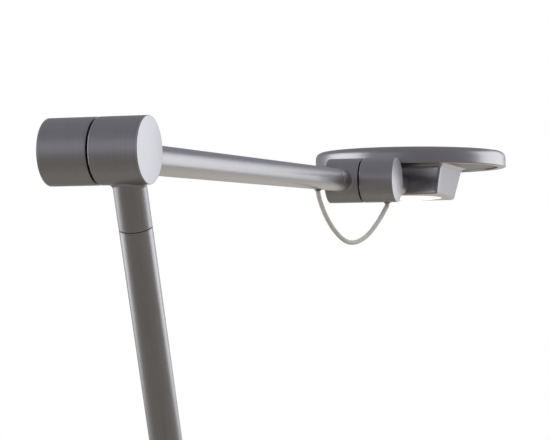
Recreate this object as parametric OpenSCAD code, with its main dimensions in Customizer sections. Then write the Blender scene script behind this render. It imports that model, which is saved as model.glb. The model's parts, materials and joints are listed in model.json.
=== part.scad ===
// Swing arm desk lamp: weighted round base, two tubular arms, three cylindrical
// friction knuckles and a flat disc head with a light pod under it.
// The hinge axes run along X, the arms swing in the YZ plane, and Z is up.
// The origin is on the swivel axis, at the surface that the base stands on.

/* [Knuckles] */
// Outer diameter of a knuckle
knuckle_d = 32; // [30:1:36]
// Length of a knuckle along its hinge axis
knuckle_len = 50; // [48:1:60]
// Gap between the two halves of a knuckle, filled by the friction washer
seam_gap = 0.8; // [0.6:0.1:1.2]
// Wall thickness of a knuckle half
knuckle_wall = 3; // [2.5:0.5:3.5]
// Thickness of the wall that the pivot bolt clamps
clamp_wall = 4; // [3:0.5:5]
// Chamfer on the rims of a knuckle half
rim_chamfer = 0.8; // [0.4:0.1:1.2]

/* [Arms] */
// Distance between the hinge axes at the two ends of an arm
arm_len = 474; // [300:1:560]
// Outer diameter of the arm tubes
tube_d = 16; // [15:1:17]
// Wall thickness of the arm tubes
tube_wall = 1.5; // [1:0.25:2]
// Lean of the lower arm away from the vertical, in degrees
lower_lean = 20.4; // [10:0.1:30]
// Rise of the upper arm above the horizontal, in degrees
upper_rise = 1.25; // [-5:0.25:20]
// Stub that stands out of a knuckle on the lower arm
lower_stub = 22; // [18:1:26]
// Stub that stands out of a knuckle on the upper arm, the stem and the neck
upper_stub = 19; // [16:1:24]

/* [Head] */
// Diameter of the disc head
disc_d = 145; // [140:1:160]
// Height of the disc's rim
disc_h = 12; // [11:0.5:16]
// Radius on the disc's top edge
disc_edge_r = 5; // [3:0.5:6]
// Distance from the head hinge forward to the disc's centre
disc_reach = 92.5; // [92:0.5:110]
// Height of the disc's underside above the head hinge
disc_lift = 13.6; // [13:0.2:20]
// Sheet thickness of the disc shell and of the pod
shell_wall = 2; // [1.5:0.25:2.5]
// Width of the pod at its front
pod_front_w = 66; // [60:1:70]
// Width of the pod at its far end
pod_far_w = 63; // [58:1:66]
// Diameter of the lens
lens_d = 48; // [40:1:50]

/* [Base] */
// Diameter of the base
base_d = 216; // [180:2:260]
// Height of the base cover above the pad's underside
base_h = 24; // [22:1:32]
// Thickness of the rubber pad
pad_t = 2; // [1.5:0.5:3]
// Radius on the base's top edge
base_edge_r = 6; // [3:0.5:8]

/* [Cord] */
// Diameter of the braided cord at the head
cord_d = 3.2; // [2.5:0.1:3.6]
// Bore of the bushing where a mains cord enters the base
inlet_bore_d = 6.4; // [5:0.1:7]

/* [Hidden] */
$fn = 96;

LEFT = -1;
RIGHT = 1;
overlap = 1;
slip = 0.05;

// Knuckle insides, measured from the knuckle's centre
knuckle_r = knuckle_d / 2;
cavity_r = knuckle_r - knuckle_wall;
half_off = knuckle_len / 4;
wall_in = seam_gap / 2;
wall_out = wall_in + clamp_wall;
cap_t = 1;
cap_plug_t = 2;
cap_seat = knuckle_len / 2 - cap_t;
bolt_r = 5;
bolt_bore_r = 2.5;
bolt_head_r = 8;
bolt_head_t = 3;
bush_r = 6;
bush_flange_r = 9;
bush_flange_t = 1;
spring_t = 2.2;
nut_t = 5;
nut_af = 16;
nut_x = wall_out + bush_flange_t + spring_t;
washer_r = 13;

// Tubes, stubs and spigots
tube_r = tube_d / 2;
tube_bore_r = tube_r - tube_wall;
stub_bore_r = 4.5;
spigot_len = 18;
screw_inset = 9;
screw_r = 1.5;
screw_len = 3;
wire_r = 2;
wire_gap = 12;

// Hinge points
collar_gap = 1;
collar_h = 8;
collar_r = 15;
collar_round = 2;
sleeve_len = 14;
collar_z = base_h + collar_gap;
base_joint_z = collar_z + collar_h + upper_stub + knuckle_r;
base_joint = [half_off, 0, base_joint_z];
elbow_joint = base_joint + arm_len * [0, -sin(lower_lean), cos(lower_lean)];
head_joint = elbow_joint + arm_len * [0, cos(upper_rise), sin(upper_rise)];

// Directions of the stubs, as turns about X away from straight up
turn_down = 180;
turn_lower_up = lower_lean;
turn_lower_down = 180 + lower_lean;
turn_upper_out = upper_rise - 90;
turn_upper_back = upper_rise + 90;
turn_forward = -90;

// Base
base_r = base_d / 2;
cover_wall = 2;
weight_r = base_r - cover_wall - 1;
weight_top = base_h - 7;
pad_r = base_r - 6;
pad_hole_r = 26;
spindle_r = 7;
spindle_bore_r = 4;
swivel_bush_r = 10;
swivel_flange_r = 15;
well_r = 20;
well_z = 9;
swivel_washer_r = 14;
swivel_washer_t = 1;
swivel_spring_t = 1.5;
swivel_nut_t = 3.5;
swivel_nut_af = 22;
base_screw_pcd = 150;
base_screw_r = 2;
base_screw_head_r = 4;
boss_r = 5;
screw_count = 3;
screw_turn = 90;
screw_bite = 3;
screw_well = 4;
screw_gap = 0.3;
gland_r = 5;
gland_flange_r = 7.5;
gland_flange_t = 1.2;
gland_z = 12;
gland_in = 16;
switch_pos = [0, -72];
switch_case = 16;
switch_z = 7;
switch_h = 10;
switch_gap = 0.5;
button_gap = 0.3;
button_out = 0.6;
button_r = 7;
button_lift = 2.5;
button_stem_r = 2.5;

// Head
disc_r = disc_d / 2;
lip_r = 66.5;
lip_h = 3;
plate_z = 1.2;
plate_t = 1.5;
head_screw_x = 24;
head_screw_y = 28;
head_screw_r = 1.5;
head_screw_head_r = 3;
head_screw_bite = 4.5;
head_screw_gap = 0.2;
neck_bore_r = 4;
neck_spigot_r = 5.5;
neck_spigot_out = 3;
head_boss_r = 4;
wire_hole_y = -27;
wire_hole_r = 5;

// Pod, with the disc's centre as its origin
pod_front_y = -41;
pod_far_y = 46;
pod_far_bottom_y = 32;
pod_front_h = 22.6;
pod_far_h = 24.7;
pod_inset = 3.5;
pod_top_t = 1.5;
pod_dish = 8;
dish_r = (pow(pod_front_w / 2, 2) + pow(pod_dish, 2)) / (2 * pod_dish);
dish_y = pod_front_y + pod_dish - dish_r;
pod_slope = atan((pod_far_h - pod_front_h) / (pod_far_bottom_y - pod_front_y));
pod_z = disc_lift + plate_z;
lens_r = lens_d / 2;
lens_y = 0;
lens_rise = 1.5;
lens_t = 2;
bezel_t = 2;
sink_w = 44;
fin_count = 7;
fin_t = 1.6;
sink_base_t = 4;
sink_drop = 8;
sink_y = 3;
board_r = 16;
board_t = 1.2;
led_r = 6;
led_t = 0.8;
reflector_top_r = 8;
reflector_wall = 1;

// Route of the cord at the head: distance along the loop's upright plane and
// height, both from the point on the head hinge's level above the arm's hole
cord_r = cord_d / 2;
cord_sides = 8;
cord_exit_y = -74;
cord_entry = [16.6, 3.5];
cord_entry_turn = 12;
cord_route = [
  [0, -10.6], [1.2, -14.5], [3.4, -19], [6.6, -24.2], [10.8, -29.5],
  [16, -34.8], [22, -39.4], [28.5, -43], [35, -45], [41.5, -45.2],
  [48, -44], [54.5, -41.6], [60.5, -38.2], [66, -34.2], [71.2, -29.8],
  [75.8, -25.4], [79.6, -21.2], [82, -18.6], [82.8, -16.8]
];
loop_dir = let (d = [cord_entry[0] + half_off, cord_entry[1] - cord_exit_y]) d / norm(d);
grommet_r = 2.4;
grommet_out = 0.8;
grommet_in = 0.6;

// ---------- shared shapes ----------

module at_base_joint() {
  translate(base_joint) children();
}

module at_elbow() {
  translate(elbow_joint) children();
}

module at_head_joint() {
  translate(head_joint) children();
}

// The neck's line and the disc's centre plane lie over the knuckle's right half
module at_disc() {
  translate(head_joint + [half_off, disc_reach, 0]) children();
}

// Turns a shape drawn along +Z so that it lies along the hinge axis
module along_hinge(side) {
  rotate([0, side * 90, 0]) children();
}

// One half of a knuckle without its stub, drawn along +Z from the centre
module half_shell(bore_r) {
  rotate_extrude()
    polygon([
      [bore_r, wall_in], [knuckle_r - rim_chamfer, wall_in],
      [knuckle_r, wall_in + rim_chamfer], [knuckle_r, cap_seat],
      [cavity_r, cap_seat], [cavity_r, wall_out], [bore_r, wall_out]
    ]);
}

// A knuckle half with a stub along +Z and a spigot for an arm tube
module tube_half(side, bore_r, stub, screw_side) {
  stub_end = knuckle_r + stub;
  difference() {
    union() {
      along_hinge(side) half_shell(bore_r);
      translate([side * half_off, 0, 0]) {
        difference() {
          union() {
            cylinder(r = tube_r, h = stub_end);
            cylinder(r = tube_bore_r - slip, h = stub_end + spigot_len);
          }
          along_hinge(side) cylinder(r = cavity_r, h = knuckle_d, center = true);
        }
      }
    }
    translate([side * half_off, 0, 0]) {
      cylinder(r = stub_bore_r, h = stub_end + spigot_len + overlap);
      translate([0, 0, stub_end + screw_inset])
        rotate([-screw_side * 90, 0, 0])
          cylinder(r = screw_r, h = tube_d);
    }
  }
}

// The flush end cap of a knuckle half
module knuckle_cap(side) {
  cap_chamfer = 0.4;
  along_hinge(side)
    rotate_extrude()
      polygon([
        [0, cap_seat - cap_plug_t], [cavity_r - slip, cap_seat - cap_plug_t],
        [cavity_r - slip, cap_seat], [knuckle_r, cap_seat],
        [knuckle_r, cap_seat + cap_t - cap_chamfer],
        [knuckle_r - cap_chamfer, cap_seat + cap_t], [0, cap_seat + cap_t]
      ]);
}

// Hollow pivot bolt: its head seats in the left half, its shaft runs to the right
module pivot_bolt() {
  shaft_end = nut_x + nut_t + 1;
  along_hinge(RIGHT)
    rotate_extrude()
      polygon([
        [bolt_bore_r, -wall_out - bolt_head_t], [bolt_head_r, -wall_out - bolt_head_t],
        [bolt_head_r, -wall_out], [bolt_r, -wall_out],
        [bolt_r, shaft_end], [bolt_bore_r, shaft_end]
      ]);
}

module friction_washer() {
  along_hinge(RIGHT)
    translate([0, 0, -wall_in])
      difference() {
        cylinder(r = washer_r, h = seam_gap);
        translate([0, 0, -overlap]) cylinder(r = bolt_r + slip, h = seam_gap + 2 * overlap);
      }
}

module pivot_bush() {
  along_hinge(RIGHT)
    rotate_extrude()
      polygon([
        [bolt_r + slip, wall_in], [bush_r, wall_in], [bush_r, wall_out],
        [bush_flange_r, wall_out], [bush_flange_r, wall_out + bush_flange_t],
        [bolt_r + slip, wall_out + bush_flange_t]
      ]);
}

// A pair of disc springs face to face, squeezed between the bush and the nut
module disc_spring() {
  x = wall_out + bush_flange_t;
  rim_t = 0.4;
  outer_r = 8.6;
  inner_r = bolt_r + 0.2;
  along_hinge(RIGHT)
    rotate_extrude()
      polygon([
        [inner_r, x + spring_t / 2 - rim_t / 2], [outer_r - 1, x], [outer_r, x],
        [outer_r, x + rim_t], [inner_r + 1.2, x + spring_t / 2],
        [outer_r, x + spring_t - rim_t], [outer_r, x + spring_t],
        [outer_r - 1, x + spring_t], [inner_r, x + spring_t / 2 + rim_t / 2]
      ]);
}

module pivot_nut() {
  along_hinge(RIGHT)
    translate([0, 0, nut_x])
      difference() {
        cylinder(d = nut_af / cos(30), h = nut_t, $fn = 6);
        translate([0, 0, -overlap]) cylinder(r = bolt_r + slip, h = nut_t + 2 * overlap);
      }
}

// An arm tube along +Z, from one stub's end to the other's
module arm_tube(first_stub, last_stub, screw_side) {
  z0 = knuckle_r + first_stub;
  z1 = arm_len - knuckle_r - last_stub;
  difference() {
    translate([0, 0, z0]) cylinder(r = tube_r, h = z1 - z0);
    translate([0, 0, z0 - overlap]) cylinder(r = tube_bore_r, h = z1 - z0 + 2 * overlap);
    for (z = [z0 + screw_inset, z1 - screw_inset])
      translate([0, 0, z])
        rotate([-screw_side * 90, 0, 0])
          cylinder(r = screw_r, h = tube_d);
  }
}

// The two grub screws of an arm, flush with the tube
module arm_screw_pair(first_stub, last_stub, screw_side) {
  socket_r = 0.8;
  socket_depth = 1.5;
  screw_top = tube_r - 0.2;
  z0 = knuckle_r + first_stub + screw_inset;
  z1 = arm_len - knuckle_r - last_stub - screw_inset;
  for (z = [z0, z1])
    translate([0, 0, z])
      rotate([-screw_side * 90, 0, 0])
        difference() {
          translate([0, 0, screw_top - screw_len])
            cylinder(r = screw_r - slip, h = screw_len);
          translate([0, 0, screw_top - socket_depth])
            cylinder(r = socket_r, h = screw_len, $fn = 6);
        }
}

// A straight cable inside an arm tube
module arm_cable(z0, z1) {
  translate([0, 0, z0]) cylinder(r = wire_r, h = z1 - z0);
}

// A flanged rubber sleeve along +Z, standing out of a wall whose face is at z
module grommet(z, wall) {
  difference() {
    translate([0, 0, z - wall]) cylinder(r = grommet_r - slip, h = wall + grommet_out);
    translate([0, 0, z - wall - overlap])
      cylinder(r = cord_r + slip, h = wall + grommet_out + 2 * overlap);
  }
}

// Frames of the arms, with the arm along +Z
module along_lower_arm() {
  at_base_joint() rotate([turn_lower_up, 0, 0]) children();
}

module along_upper_arm() {
  at_elbow() rotate([turn_upper_out, 0, 0]) children();
}

// ---------- base ----------

// Profile of a round plate with its top edge rounded over
module edge_profile(r, h, round_r) {
  intersection() {
    square([r, h]);
    union() {
      square([r, h - round_r]);
      square([r - round_r, h]);
      translate([r - round_r, h - round_r]) circle(r = round_r);
    }
  }
}

module spaced_round(count, radius) {
  for (i = [0 : count - 1])
    rotate([0, 0, i * 360 / count + screw_turn]) translate([radius, 0, 0]) children();
}

module base_cover() {
  color("gray")
    difference() {
      union() {
        translate([0, 0, pad_t])
          rotate_extrude()
            difference() {
              edge_profile(base_r, base_h - pad_t, base_edge_r);
              translate([0, -overlap])
                edge_profile(base_r - cover_wall, base_h - pad_t - cover_wall + overlap,
                             base_edge_r - cover_wall);
            }
        translate([0, 0, weight_top])
          spaced_round(screw_count, base_screw_pcd / 2)
            cylinder(r = boss_r, h = base_h - cover_wall - weight_top + cover_wall / 4);
      }
      cylinder(r = swivel_bush_r, h = base_h + overlap);
      translate([0, 0, weight_top - overlap])
        spaced_round(screw_count, base_screw_pcd / 2)
          cylinder(r = base_screw_r, h = screw_bite + 2 * overlap);
      translate([0, -base_r + gland_in, gland_z])
        rotate([90, 0, 0]) cylinder(r = gland_r, h = 2 * gland_in);
      translate([switch_pos[0], switch_pos[1], switch_z + switch_h])
        cylinder(r = button_r + button_gap, h = base_h);
    }
}

module base_weight() {
  color("dimgray")
    difference() {
      translate([0, 0, pad_t]) cylinder(r = weight_r, h = weight_top - pad_t);
      cylinder(r = well_r, h = well_z);
      cylinder(r = swivel_bush_r, h = base_h);
      spaced_round(screw_count, base_screw_pcd / 2) {
        cylinder(r = base_screw_r + screw_gap, h = base_h);
        cylinder(r = base_screw_head_r + screw_gap, h = pad_t + screw_well);
      }
      translate([0, -base_r, gland_z])
        rotate([-90, 0, 0]) cylinder(r = gland_flange_r, h = gland_in + wire_gap / 3);
      translate([-wire_gap / 2, -base_r, gland_z - wire_gap / 4])
        cube([wire_gap, base_r, base_h]);
      translate([switch_pos[0], switch_pos[1], switch_z])
        translate([-switch_case / 2 - switch_gap, -switch_case / 2 - switch_gap, 0])
          cube([switch_case + 2 * switch_gap, switch_case + 2 * switch_gap, base_h]);
    }
}

module base_pad() {
  color("black")
    difference() {
      cylinder(r = pad_r, h = pad_t);
      translate([0, 0, -overlap]) cylinder(r = pad_hole_r, h = pad_t + 2 * overlap);
      translate([0, 0, -overlap])
        spaced_round(screw_count, base_screw_pcd / 2)
          cylinder(r = base_screw_head_r + screw_gap, h = pad_t + 2 * overlap);
    }
}

module base_screws() {
  head_top = pad_t + screw_well;
  head_t = 2.2;
  socket_depth = 1.2;
  color("silver")
    spaced_round(screw_count, base_screw_pcd / 2)
      difference() {
        union() {
          translate([0, 0, head_top - head_t]) cylinder(r = base_screw_head_r, h = head_t);
          translate([0, 0, head_top])
            cylinder(r = base_screw_r - slip, h = weight_top + screw_bite - head_top);
        }
        translate([0, 0, head_top - head_t - overlap])
          cylinder(r = base_screw_r, h = overlap + socket_depth, $fn = 6);
      }
}

module swivel_bush() {
  color("black")
    rotate_extrude()
      polygon([
        [spindle_r + slip, well_z], [swivel_bush_r, well_z], [swivel_bush_r, base_h],
        [swivel_flange_r, base_h], [swivel_flange_r, collar_z], [spindle_r + slip, collar_z]
      ]);
}

module inlet_gland() {
  color("black")
    translate([0, -base_r - gland_flange_t, gland_z])
      rotate([-90, 0, 0])
        difference() {
          union() {
            cylinder(r = gland_flange_r, h = gland_flange_t);
            cylinder(r = gland_r, h = gland_in);
          }
          translate([0, 0, -overlap]) cylinder(d = inlet_bore_d, h = gland_in + 2 * overlap);
        }
}

module switch_body() {
  case_floor = 3;
  color("dimgray")
    translate([switch_pos[0], switch_pos[1], switch_z])
      difference() {
        translate([-switch_case / 2, -switch_case / 2, 0])
          cube([switch_case, switch_case, switch_h]);
        translate([0, 0, case_floor]) cylinder(r = button_stem_r + slip, h = switch_h);
      }
}

module switch_button() {
  case_top = switch_z + switch_h;
  cap_z = case_top + button_lift - overlap;
  stem_in = 3;
  edge_r = 1;
  color("silver")
    translate([switch_pos[0], switch_pos[1], 0]) {
      translate([0, 0, cap_z])
        rotate_extrude() edge_profile(button_r, base_h + button_out - cap_z, edge_r);
      translate([0, 0, case_top - stem_in])
        cylinder(r = button_stem_r, h = stem_in + button_lift);
    }
}

// ---------- stem ----------

module swivel_spindle() {
  color("gray") {
    difference() {
      union() {
        translate([0, 0, collar_z])
          rotate_extrude() edge_profile(collar_r, collar_h, collar_round);
        translate([0, 0, pad_t]) cylinder(r = spindle_r, h = collar_z - pad_t + overlap);
        translate([0, 0, collar_z]) cylinder(r = tube_bore_r - slip, h = collar_h + sleeve_len);
      }
      cylinder(r = spindle_bore_r, h = collar_z + collar_h + sleeve_len + overlap);
    }
  }
}

module spindle_ring(r, z, h) {
  translate([0, 0, z])
    difference() {
      cylinder(r = r, h = h);
      translate([0, 0, -overlap]) cylinder(r = spindle_r + slip, h = h + 2 * overlap);
    }
}

module swivel_washer() {
  color("silver") spindle_ring(swivel_washer_r, well_z - swivel_washer_t, swivel_washer_t);
}

module swivel_spring() {
  top = well_z - swivel_washer_t;
  low = top - swivel_spring_t;
  rim_t = 0.5;
  outer_r = 13;
  inner_r = spindle_r + 0.2;
  color("silver")
    rotate_extrude()
      polygon([
        [inner_r, low], [inner_r + 1, low], [outer_r, top - rim_t],
        [outer_r, top], [outer_r - 1, top], [inner_r, low + rim_t]
      ]);
}

module swivel_nut() {
  top = well_z - swivel_washer_t - swivel_spring_t;
  color("silver")
    translate([0, 0, top - swivel_nut_t])
      difference() {
        cylinder(d = swivel_nut_af / cos(30), h = swivel_nut_t, $fn = 6);
        translate([0, 0, -overlap])
          cylinder(r = spindle_r + slip, h = swivel_nut_t + 2 * overlap);
      }
}

// The stem's half: its stub stands on the collar and sleeves over the spindle
module base_knuckle_left() {
  sleeve = sleeve_len + slip;
  color("gray")
    at_base_joint()
      rotate([turn_down, 0, 0])
        difference() {
          union() {
            along_hinge(LEFT) half_shell(bolt_r + slip);
            translate([LEFT * half_off, 0, 0])
              difference() {
                cylinder(r = tube_r, h = knuckle_r + upper_stub);
                along_hinge(LEFT) cylinder(r = cavity_r, h = knuckle_d, center = true);
              }
          }
          translate([LEFT * half_off, 0, 0]) {
            cylinder(r = stub_bore_r, h = knuckle_r + upper_stub + overlap);
            translate([0, 0, knuckle_r + upper_stub - sleeve])
              cylinder(r = tube_bore_r, h = sleeve + overlap);
          }
        }
}

module base_knuckle_left_cap() {
  color("silver") at_base_joint() knuckle_cap(LEFT);
}

module base_pivot_bolt() {
  color("silver") at_base_joint() pivot_bolt();
}

module base_friction_washer() {
  color("black") at_base_joint() friction_washer();
}

module base_disc_spring() {
  color("silver") at_base_joint() disc_spring();
}

module base_pivot_nut() {
  color("silver") at_base_joint() pivot_nut();
}

// ---------- lower arm ----------

module base_knuckle_right() {
  color("gray")
    at_base_joint() rotate([turn_lower_up, 0, 0]) tube_half(RIGHT, bush_r, lower_stub, 1);
}

module base_knuckle_right_cap() {
  color("silver") at_base_joint() knuckle_cap(RIGHT);
}

module base_pivot_bush() {
  color("black") at_base_joint() pivot_bush();
}

module lower_arm_tube() {
  color("silver")
    along_lower_arm() translate([half_off, 0, 0]) arm_tube(lower_stub, lower_stub, 1);
}

module lower_arm_screws() {
  color("dimgray")
    along_lower_arm() translate([half_off, 0, 0]) arm_screw_pair(lower_stub, lower_stub, 1);
}

module lower_arm_cable() {
  color("white")
    along_lower_arm() translate([half_off, 0, 0]) arm_cable(wire_gap, arm_len - wire_gap);
}

module elbow_right() {
  color("gray")
    at_elbow() rotate([turn_lower_down, 0, 0]) tube_half(RIGHT, bush_r, lower_stub, -1);
}

module elbow_right_cap() {
  color("silver") at_elbow() knuckle_cap(RIGHT);
}

module elbow_pivot_bush() {
  color("black") at_elbow() pivot_bush();
}

// ---------- upper arm ----------

module elbow_left() {
  color("gray")
    at_elbow() rotate([turn_upper_out, 0, 0]) tube_half(LEFT, bolt_r + slip, upper_stub, -1);
}

module elbow_left_cap() {
  color("silver") at_elbow() knuckle_cap(LEFT);
}

module elbow_pivot_bolt() {
  color("silver") at_elbow() pivot_bolt();
}

module elbow_friction_washer() {
  color("black") at_elbow() friction_washer();
}

module elbow_disc_spring() {
  color("silver") at_elbow() disc_spring();
}

module elbow_pivot_nut() {
  color("silver") at_elbow() pivot_nut();
}

module upper_arm_tube() {
  color("silver")
    difference() {
      along_upper_arm() translate([LEFT * half_off, 0, 0]) arm_tube(upper_stub, upper_stub, -1);
      at_arm_grommet()
        translate([0, 0, tube_bore_r - overlap])
          cylinder(r = grommet_r, h = tube_wall + 2 * overlap);
    }
}

module upper_arm_screws() {
  color("dimgray")
    along_upper_arm()
      translate([LEFT * half_off, 0, 0]) arm_screw_pair(upper_stub, upper_stub, -1);
}

module upper_arm_cable() {
  color("white")
    along_upper_arm()
      translate([LEFT * half_off, 0, 0]) arm_cable(wire_gap, arm_len + cord_exit_y);
}

// The cord's hole faces straight down from the tube's centre line
module at_arm_grommet() {
  at_head_joint()
    rotate([upper_rise, 0, 0])
      translate([LEFT * half_off, cord_exit_y, 0]) rotate([180, 0, 0]) children();
}

module arm_grommet() {
  color("black") at_arm_grommet() grommet(tube_r, tube_wall + grommet_in);
}

module head_knuckle_left() {
  color("gray")
    at_head_joint()
      rotate([turn_upper_back, 0, 0]) tube_half(LEFT, bolt_r + slip, upper_stub, 1);
}

module head_knuckle_left_cap() {
  color("silver") at_head_joint() knuckle_cap(LEFT);
}

module head_pivot_bolt() {
  color("silver") at_head_joint() pivot_bolt();
}

module head_friction_washer() {
  color("black") at_head_joint() friction_washer();
}

module head_disc_spring() {
  color("silver") at_head_joint() disc_spring();
}

module head_pivot_nut() {
  color("silver") at_head_joint() pivot_nut();
}

// The loop's plane is upright, so one vector is square to the whole route
function cord_point(i) =
  head_joint + [-half_off, cord_exit_y, 0]
  + [loop_dir[0] * cord_route[i][0], loop_dir[1] * cord_route[i][0], cord_route[i][1]];
function cord_last() = len(cord_route) - 1;
function cord_tangent(i) =
  i == 0 ? [0, 0, -1]
  : i == cord_last() ? [0, -sin(cord_entry_turn), cos(cord_entry_turn)]
  : let (d = cord_point(i + 1) - cord_point(i - 1)) d / norm(d);
function cord_ring(i) =
  let (side = [loop_dir[1], -loop_dir[0], 0], up = cross(cord_tangent(i), side))
  [for (k = [0 : cord_sides - 1])
    cord_point(i) + cord_r * (cos(k * 360 / cord_sides) * side + sin(k * 360 / cord_sides) * up)];
function cord_quad(i, k) =
  let (a = i * cord_sides + k, b = i * cord_sides + (k + 1) % cord_sides)
  [a, b, b + cord_sides, a + cord_sides];

module head_cord() {
  rings = cord_last() + 1;
  points = [for (i = [0 : rings - 1]) each cord_ring(i)];
  sides = [for (i = [0 : rings - 2]) for (k = [0 : cord_sides - 1]) cord_quad(i, k)];
  first = [for (k = [cord_sides - 1 : -1 : 0]) k];
  last = [for (k = [0 : cord_sides - 1]) (rings - 1) * cord_sides + k];
  color("beige") polyhedron(points = points, faces = concat(sides, [first, last]));
}

// ---------- head ----------

// The neck's end is shaped to the pod's dished front, and its spigot goes through
module neck() {
  wall_y = disc_reach + pod_front_y + pod_dish;
  intersection() {
    cylinder(r = tube_r, h = wall_y);
    translate([0, 0, disc_reach + dish_y])
      rotate([90, 0, 0]) cylinder(r = dish_r, h = 2 * tube_d, center = true, $fn = 180);
  }
  cylinder(r = neck_spigot_r, h = wall_y + shell_wall + neck_spigot_out);
}

module head_knuckle_right() {
  color("gray")
    at_head_joint()
      rotate([turn_forward, 0, 0])
        difference() {
          union() {
            along_hinge(RIGHT) half_shell(bush_r);
            translate([half_off, 0, 0])
              difference() {
                neck();
                along_hinge(RIGHT) cylinder(r = cavity_r, h = knuckle_d, center = true);
              }
          }
          translate([half_off, 0, 0]) cylinder(r = neck_bore_r, h = disc_reach);
          at_entry_turn()
            translate([0, 0, cavity_r - overlap])
              cylinder(r = grommet_r, h = knuckle_wall + 2 * overlap);
        }
}

// The cord's hole in the knuckle, in the frame of the half whose stub is +Z
module at_entry_turn() {
  translate([cord_entry[0], 0, 0]) rotate([cord_entry_turn - 90, 0, 0]) children();
}

module head_knuckle_right_cap() {
  color("silver") at_head_joint() knuckle_cap(RIGHT);
}

module head_pivot_bush() {
  color("black") at_head_joint() pivot_bush();
}

module head_grommet() {
  color("black")
    at_head_joint()
      rotate([turn_forward, 0, 0])
        at_entry_turn() grommet(knuckle_r, knuckle_wall + grommet_in);
}

module head_shell() {
  inner_h = disc_h - shell_wall;
  color("gray")
    at_disc()
      translate([0, 0, disc_lift])
        union() {
          rotate_extrude()
            difference() {
              edge_profile(disc_r, disc_h, disc_edge_r);
              translate([0, -overlap])
                edge_profile(disc_r - shell_wall, inner_h + overlap, disc_edge_r - shell_wall);
            }
          difference() {
            cylinder(r = disc_r - overlap, h = lip_h);
            translate([0, 0, -overlap]) cylinder(r = lip_r, h = lip_h + 2 * overlap);
          }
          head_screw_places()
            translate([0, 0, plate_z + plate_t])
              difference() {
                cylinder(r = head_boss_r, h = inner_h - plate_z - plate_t + shell_wall / 4);
                translate([0, 0, -overlap])
                  cylinder(r = head_screw_r, h = head_screw_bite + 2 * overlap);
              }
        }
}

module head_screw_places() {
  for (x = [-head_screw_x, head_screw_x], y = [-head_screw_y, head_screw_y])
    translate([x, y, 0]) children();
}

module head_underplate() {
  color("silver")
    at_disc()
      translate([0, 0, disc_lift + plate_z])
        difference() {
          cylinder(r = lip_r - slip, h = plate_t);
          translate([0, 0, -overlap]) {
            head_screw_places()
              cylinder(r = head_screw_r + head_screw_gap, h = plate_t + 2 * overlap);
            translate([0, wire_hole_y, 0]) cylinder(r = wire_hole_r, h = plate_t + 2 * overlap);
          }
        }
}

module head_screws() {
  head_t = 1.8;
  color("silver")
    at_disc()
      translate([0, 0, pod_z])
        head_screw_places()
          union() {
            translate([0, 0, -pod_top_t - head_t]) cylinder(r = head_screw_head_r, h = head_t);
            translate([0, 0, -pod_top_t])
              cylinder(r = head_screw_r - slip, h = pod_top_t + plate_t + head_screw_bite);
          }
}

module driver_board() {
  board_w = 46;
  board_l = 30;
  sheet_t = 1.6;
  parts_h = 4;
  color("green")
    at_disc()
      translate([0, 0, disc_lift + plate_z + plate_t]) {
        translate([-board_w / 2, -12, 0]) cube([board_w, board_l, sheet_t]);
        translate([-12, -6, 0]) cube([10, 14, sheet_t + parts_h]);
        translate([2, 2, 0]) cube([8, 8, sheet_t + parts_h - 1]);
        translate([14, -2, 0]) cylinder(r = 3, h = sheet_t + parts_h);
      }
}

// Plan of the pod between two Y levels, with widths that differ from front to far
module pod_plan(front_w, far_w, y0, y1, corner) {
  union() {
    polygon([
      [-front_w / 2, y0], [front_w / 2, y0], [far_w / 2, y1 - corner],
      [far_w / 2 - corner, y1], [-far_w / 2 + corner, y1], [-far_w / 2, y1 - corner]
    ]);
    for (x = [-1, 1])
      translate([x * (far_w / 2 - corner), y1 - corner]) circle(r = corner, $fn = 32);
  }
}

// The pod's outer form, or its inside when shrunk by the wall
module pod_form(shrink, drop) {
  skin = 0.2;
  top_w = 2 * shrink;
  low_w = 2 * (shrink + pod_inset);
  corner = 6;
  hull() {
    translate([0, 0, -skin])
      linear_extrude(skin)
        pod_plan(pod_front_w - top_w, pod_far_w - top_w,
                 pod_front_y + shrink, pod_far_y - shrink, corner);
    translate([0, pod_front_y, -pod_front_h - drop])
      rotate([-pod_slope, 0, 0])
        translate([0, -pod_front_y, 0])
          linear_extrude(skin)
            pod_plan(pod_front_w - low_w, pod_far_w - low_w,
                     pod_front_y + shrink, pod_far_bottom_y - shrink, corner);
  }
}

// The dish that the front face follows
module pod_dish_cut(grow) {
  translate([0, dish_y, -2 * pod_far_h]) cylinder(r = dish_r + grow, h = 4 * pod_far_h, $fn = 180);
}

module through_pod_top() {
  translate([0, 0, -2 * pod_top_t]) children();
}

module pod_housing() {
  color("lightgray")
    at_disc()
      translate([0, 0, pod_z])
        difference() {
          pod_form(0, 0);
          pod_dish_cut(0);
          difference() {
            translate([0, 0, -pod_top_t]) pod_form(shell_wall, 2);
            pod_dish_cut(shell_wall);
          }
          head_screw_places()
            through_pod_top() cylinder(r = head_screw_r + head_screw_gap, h = 4 * pod_top_t);
          translate([0, pod_front_y, -pod_z])
            rotate([-90, 0, 0]) cylinder(r = neck_spigot_r + slip, h = 2 * pod_dish);
          through_pod_top() translate([0, wire_hole_y, 0]) cylinder(r = wire_hole_r, h = 4 * pod_top_t);
          through_pod_top()
            translate([-sink_w / 2, -sink_w / 2 + sink_y, 0])
              cube([sink_w, sink_w, 4 * pod_top_t]);
        }
}

module heat_sink() {
  fin_h = sink_drop - sink_base_t;
  pitch = (sink_w - fin_t) / (fin_count - 1);
  color("silver")
    at_disc()
      translate([-sink_w / 2, -sink_w / 2 + sink_y, pod_z - sink_drop])
        difference() {
          cube([sink_w, sink_w, sink_drop]);
          for (i = [0 : fin_count - 2])
            translate([i * pitch + fin_t, -overlap, sink_base_t])
              cube([pitch - fin_t, sink_w + 2 * overlap, fin_h + overlap]);
        }
}

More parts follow.
